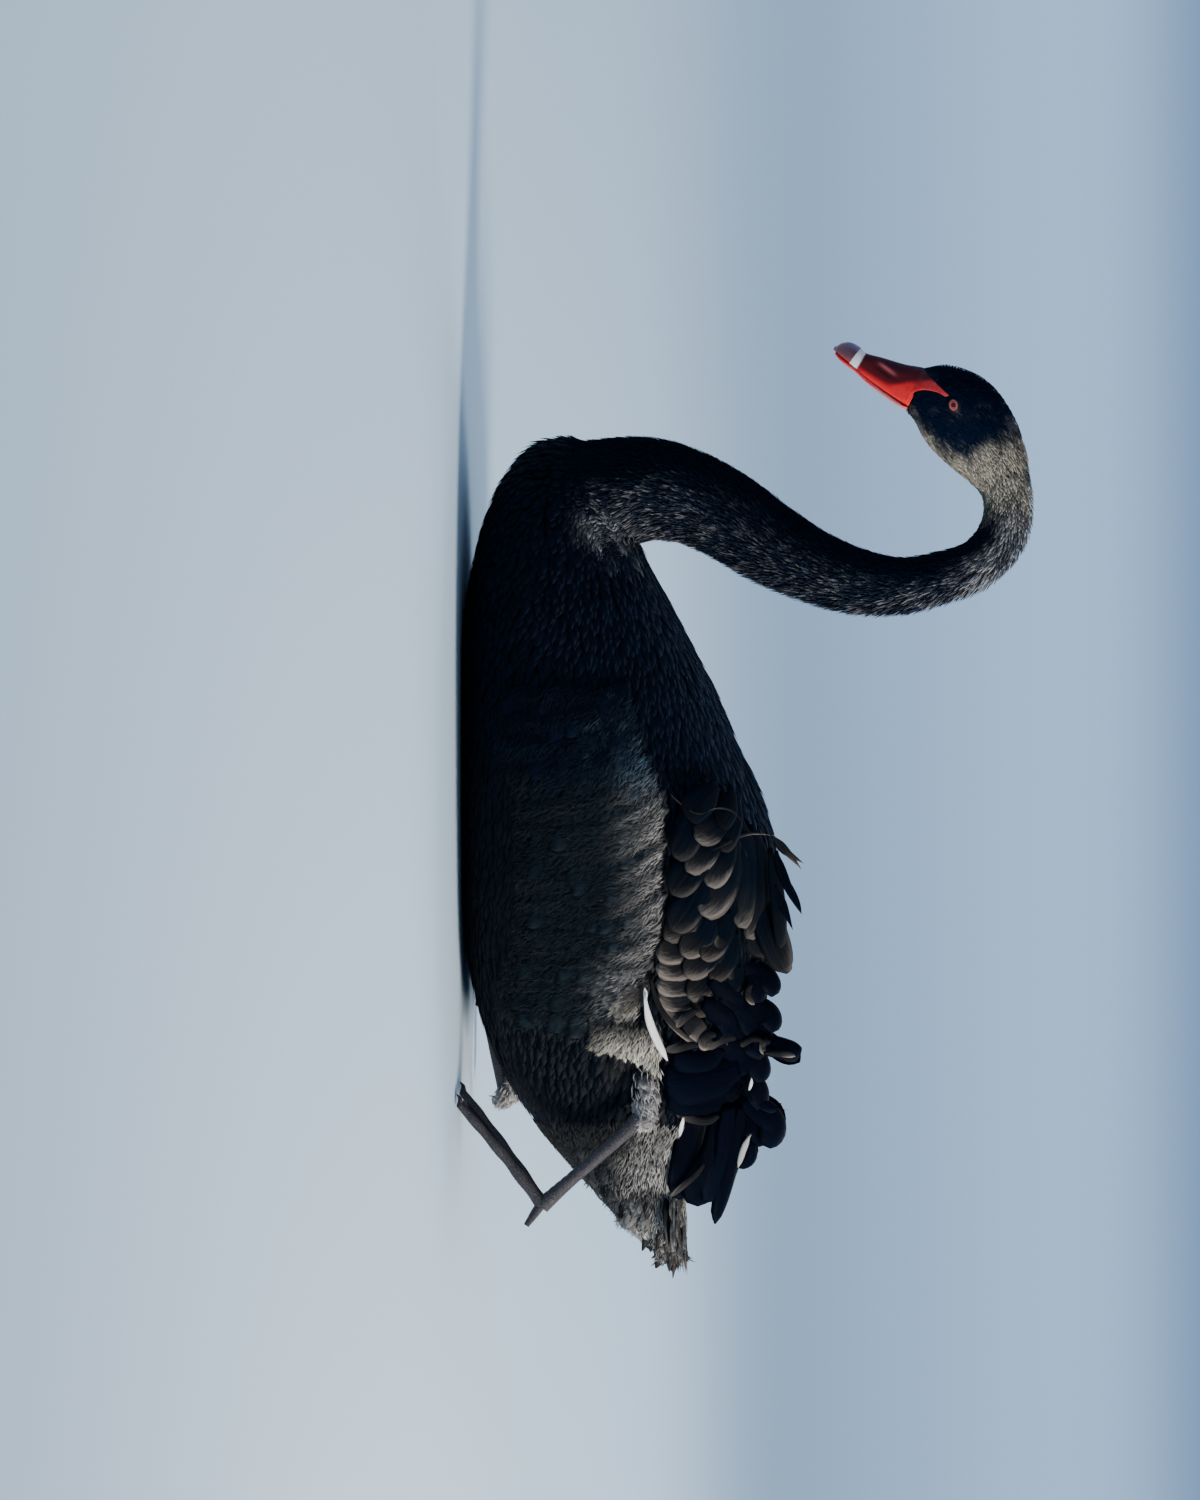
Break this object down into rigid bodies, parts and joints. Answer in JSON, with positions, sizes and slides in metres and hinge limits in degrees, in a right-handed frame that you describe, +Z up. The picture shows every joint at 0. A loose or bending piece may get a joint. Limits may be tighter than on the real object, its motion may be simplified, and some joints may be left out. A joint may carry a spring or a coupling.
{
  "type": "black swan model",
  "caption": "Life-size still model of a black swan resting on its belly, neck in an S, wings folded, curled tertial feathers, red bill, one leg trailing.",
  "frame": {"origin": "middle of the flat on the underside of the belly, where the bird rests on the floor", "axes": "+Z up, -Y the way the bill and breast point, +X the bird's left side"},
  "size_m": [0.2554, 0.7278, 0.4423],
  "materials": {
    "plumage": "black contour feathers",
    "flank": "grey-brown feathers with pale edges",
    "neck": "short plush black and grey-brown feathers",
    "white": "white flight feathers",
    "bill": "waxy crimson with a pale band",
    "nail": "maroon horn",
    "eye": "wet red with a dark pupil",
    "leg": "grey-black scaled skin"
  },
  "bodies": {
    "root": {"torso": "plumage", "neck_1": "neck", "neck_2": "neck", "neck_3": "neck", "neck_4": "neck", "neck_5": "neck", "head": "neck", "eye_left": "eye", "eye_right": "eye", "bill_upper": "bill", "bill_lower": "bill", "bill_nail": "nail", "wing_left": "plumage", "wing_right": "plumage", "primaries_left": "white", "primaries_right": "white", "thigh_left": "flank", "thigh_right": "flank", "shank_left": "leg", "shank_right": "leg", "foot_left": "leg", "foot_right": "leg", "tail": "flank"}
  },
  "joints": []
}
